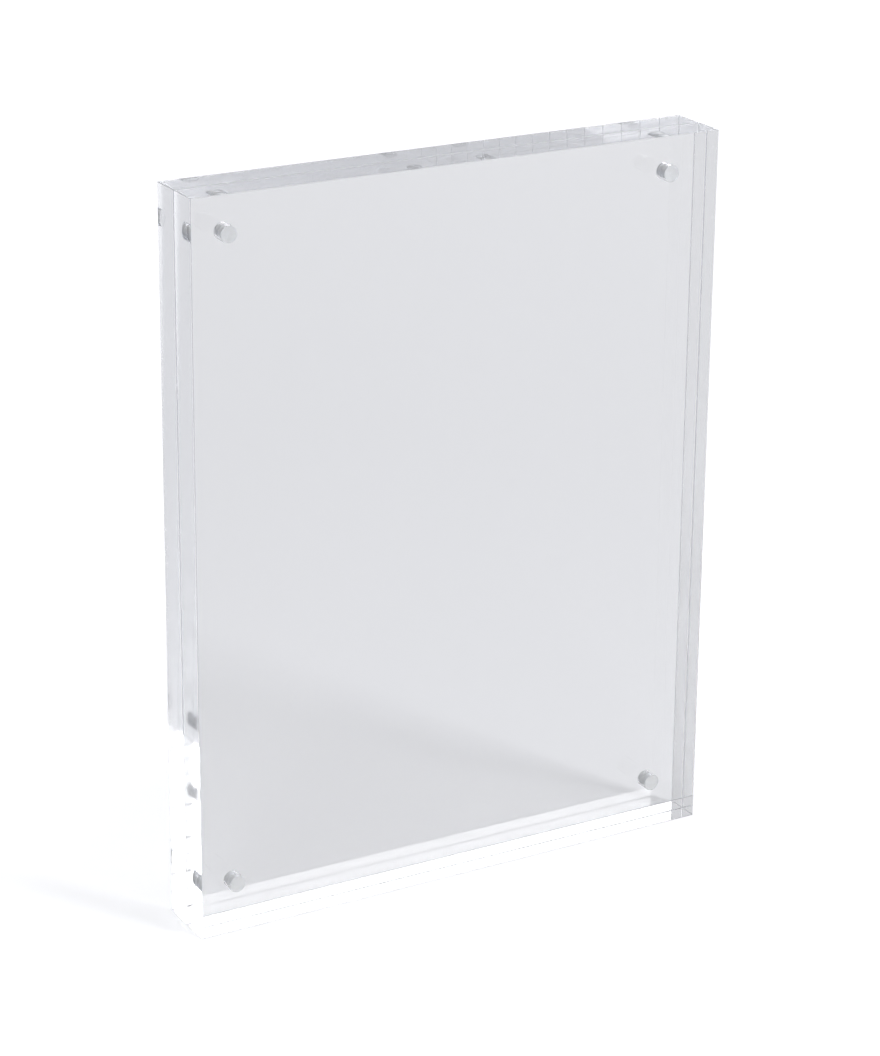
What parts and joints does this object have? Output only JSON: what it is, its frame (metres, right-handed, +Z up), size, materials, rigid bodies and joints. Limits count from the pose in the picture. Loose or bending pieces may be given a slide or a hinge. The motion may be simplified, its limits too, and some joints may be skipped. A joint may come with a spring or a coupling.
{
  "type": "magnetic block sign holder",
  "caption": "Free-standing clear acrylic block sign holder: a front panel pulls straight off a rear panel, and small magnets near the corners hold them together round a printed sheet.",
  "frame": {"origin": "under the middle of the block, on the surface that it stands on", "axes": "+Z up along the block's height, -Y towards the viewer from the front panel's face, +X to the viewer's right"},
  "size_m": [0.216, 0.0264, 0.2794],
  "materials": {
    "clear_acrylic": "clear cast acrylic with polished faces and edges",
    "nickel": "bright nickel plate on a sintered magnet",
    "glue": "thin cured glue film, frosted"
  },
  "bodies": {
    "rear_half": {"rear_panel": "clear_acrylic", "rear_magnet_top_left": "nickel", "rear_magnet_top_right": "nickel", "rear_magnet_bottom_left": "nickel", "rear_magnet_bottom_right": "nickel", "rear_glue_top_left": "glue", "rear_glue_top_right": "glue", "rear_glue_bottom_left": "glue", "rear_glue_bottom_right": "glue"},
    "front_half": {"front_panel": "clear_acrylic", "front_magnet_top_left": "nickel", "front_magnet_top_right": "nickel", "front_magnet_bottom_left": "nickel", "front_magnet_bottom_right": "nickel", "front_glue_top_left": "glue", "front_glue_top_right": "glue", "front_glue_bottom_left": "glue", "front_glue_bottom_right": "glue"}
  },
  "joints": [
    {"name": "front_pull_off", "type": "slide", "parent": "rear_half", "child": "front_half", "axis": [0, -1, 0], "range_m": [0, 0.1]}
  ]
}
